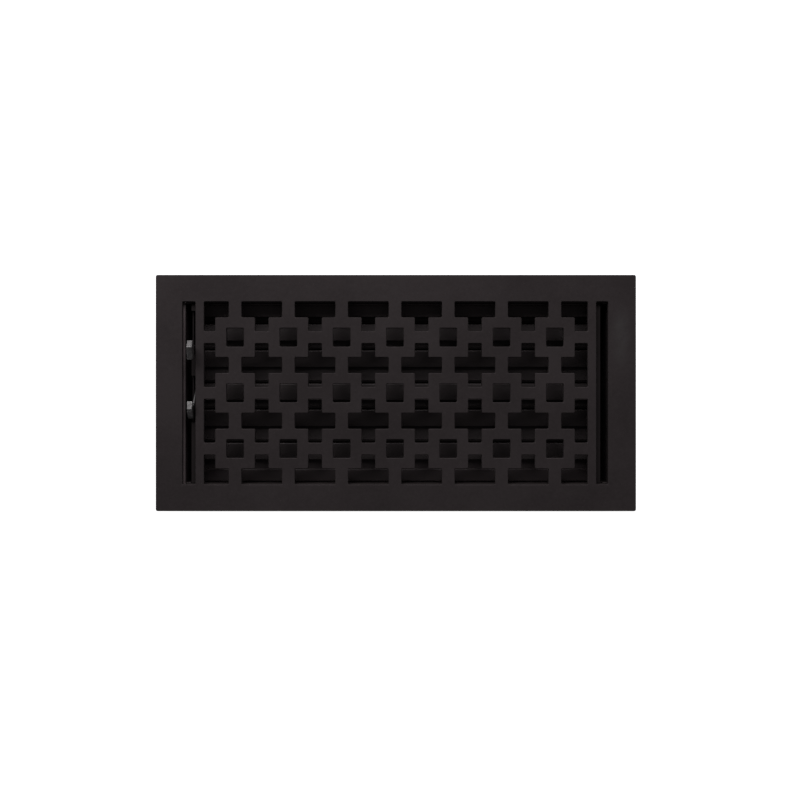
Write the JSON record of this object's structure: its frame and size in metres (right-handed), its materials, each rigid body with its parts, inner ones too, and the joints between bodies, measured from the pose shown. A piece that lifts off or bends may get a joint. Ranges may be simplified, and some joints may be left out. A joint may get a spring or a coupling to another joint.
{
  "type": "cast iron floor register",
  "caption": "Flat cast iron register face with a pierced fretwork of squares and crosses, over a steel damper box whose stepped louver blades turn by finger levers.",
  "frame": {"origin": "middle of the underside of the damper box", "axes": "+X along the length, away from the levers; +Y along the width, towards the side the levers swing to as the blades open; +Z out of the face"},
  "size_m": [0.4, 0.1968, 0.062],
  "materials": {
    "cast_iron": "matt black coating over sand-cast iron",
    "black_sheet": "black coated sheet steel",
    "lever_steel": "dull grey steel, worn bright on the ridge",
    "screw_steel": "dark blued steel"
  },
  "bodies": {
    "root": {"face_plate": "cast_iron", "side_wall_back": "black_sheet", "side_wall_front": "black_sheet", "end_wall_left": "black_sheet", "end_wall_right": "black_sheet", "bearing_bracket_left": "black_sheet", "bearing_bracket_right": "black_sheet", "stop_ledge_back": "black_sheet", "stop_ledge_front": "black_sheet", "box_screw_1": "screw_steel", "box_screw_2": "screw_steel", "box_screw_3": "screw_steel", "box_screw_4": "screw_steel", "box_screw_5": "screw_steel", "box_screw_6": "screw_steel", "bracket_screw_1": "screw_steel", "bracket_screw_2": "screw_steel", "bracket_screw_3": "screw_steel", "bracket_screw_4": "screw_steel"},
    "blade_1": {"louver_blade_1": "black_sheet"},
    "blade_2": {"louver_blade_2": "black_sheet", "lever_upright": "lever_steel"},
    "blade_3": {"louver_blade_3": "black_sheet", "lever_leaning": "lever_steel"},
    "blade_4": {"louver_blade_4": "black_sheet"},
    "blade_5": {"louver_blade_5": "black_sheet"},
    "link_left": {"link_bar_left": "black_sheet"},
    "link_right": {"link_bar_right": "black_sheet"}
  },
  "joints": [
    {"name": "lever_upright_turn", "type": "hinge", "parent": "root", "child": "blade_2", "pos_m": [0, 0.0382, 0.0225], "axis": [-1, 0, 0], "range_deg": [0, 48]},
    {"name": "lever_leaning_turn", "type": "hinge", "parent": "root", "child": "blade_3", "pos_m": [0, 0.0099, 0.0225], "axis": [-1, 0, 0], "range_deg": [-6, 48]},
    {"name": "blade_4_turn", "type": "hinge", "parent": "root", "child": "blade_4", "pos_m": [0, -0.0123, 0.0225], "axis": [-1, 0, 0], "range_deg": [0, 48]},
    {"name": "blade_1_turn", "type": "hinge", "parent": "root", "child": "blade_1", "pos_m": [0, 0.0604, 0.0225], "axis": [-1, 0, 0], "range_deg": [-6, 48]},
    {"name": "blade_5_turn", "type": "hinge", "parent": "root", "child": "blade_5", "pos_m": [0, -0.0406, 0.0225], "axis": [-1, 0, 0], "range_deg": [-6, 48]},
    {"name": "link_left_pin", "type": "hinge", "parent": "blade_2", "child": "link_left", "pos_m": [0, 0.04215, 0.01441], "axis": [-1, 0, 0], "range_deg": [-48, 0]},
    {"name": "link_right_pin", "type": "hinge", "parent": "blade_3", "child": "link_right", "pos_m": [0, 0.01384, 0.01441], "axis": [-1, 0, 0], "range_deg": [-48, 6]}
  ],
  "couplings": [
    {"joint": "blade_4_turn", "follows": "lever_upright_turn", "ratio": 1},
    {"joint": "link_left_pin", "follows": "lever_upright_turn", "ratio": -1},
    {"joint": "blade_1_turn", "follows": "lever_leaning_turn", "ratio": 1},
    {"joint": "blade_5_turn", "follows": "lever_leaning_turn", "ratio": 1},
    {"joint": "link_right_pin", "follows": "lever_leaning_turn", "ratio": -1}
  ]
}
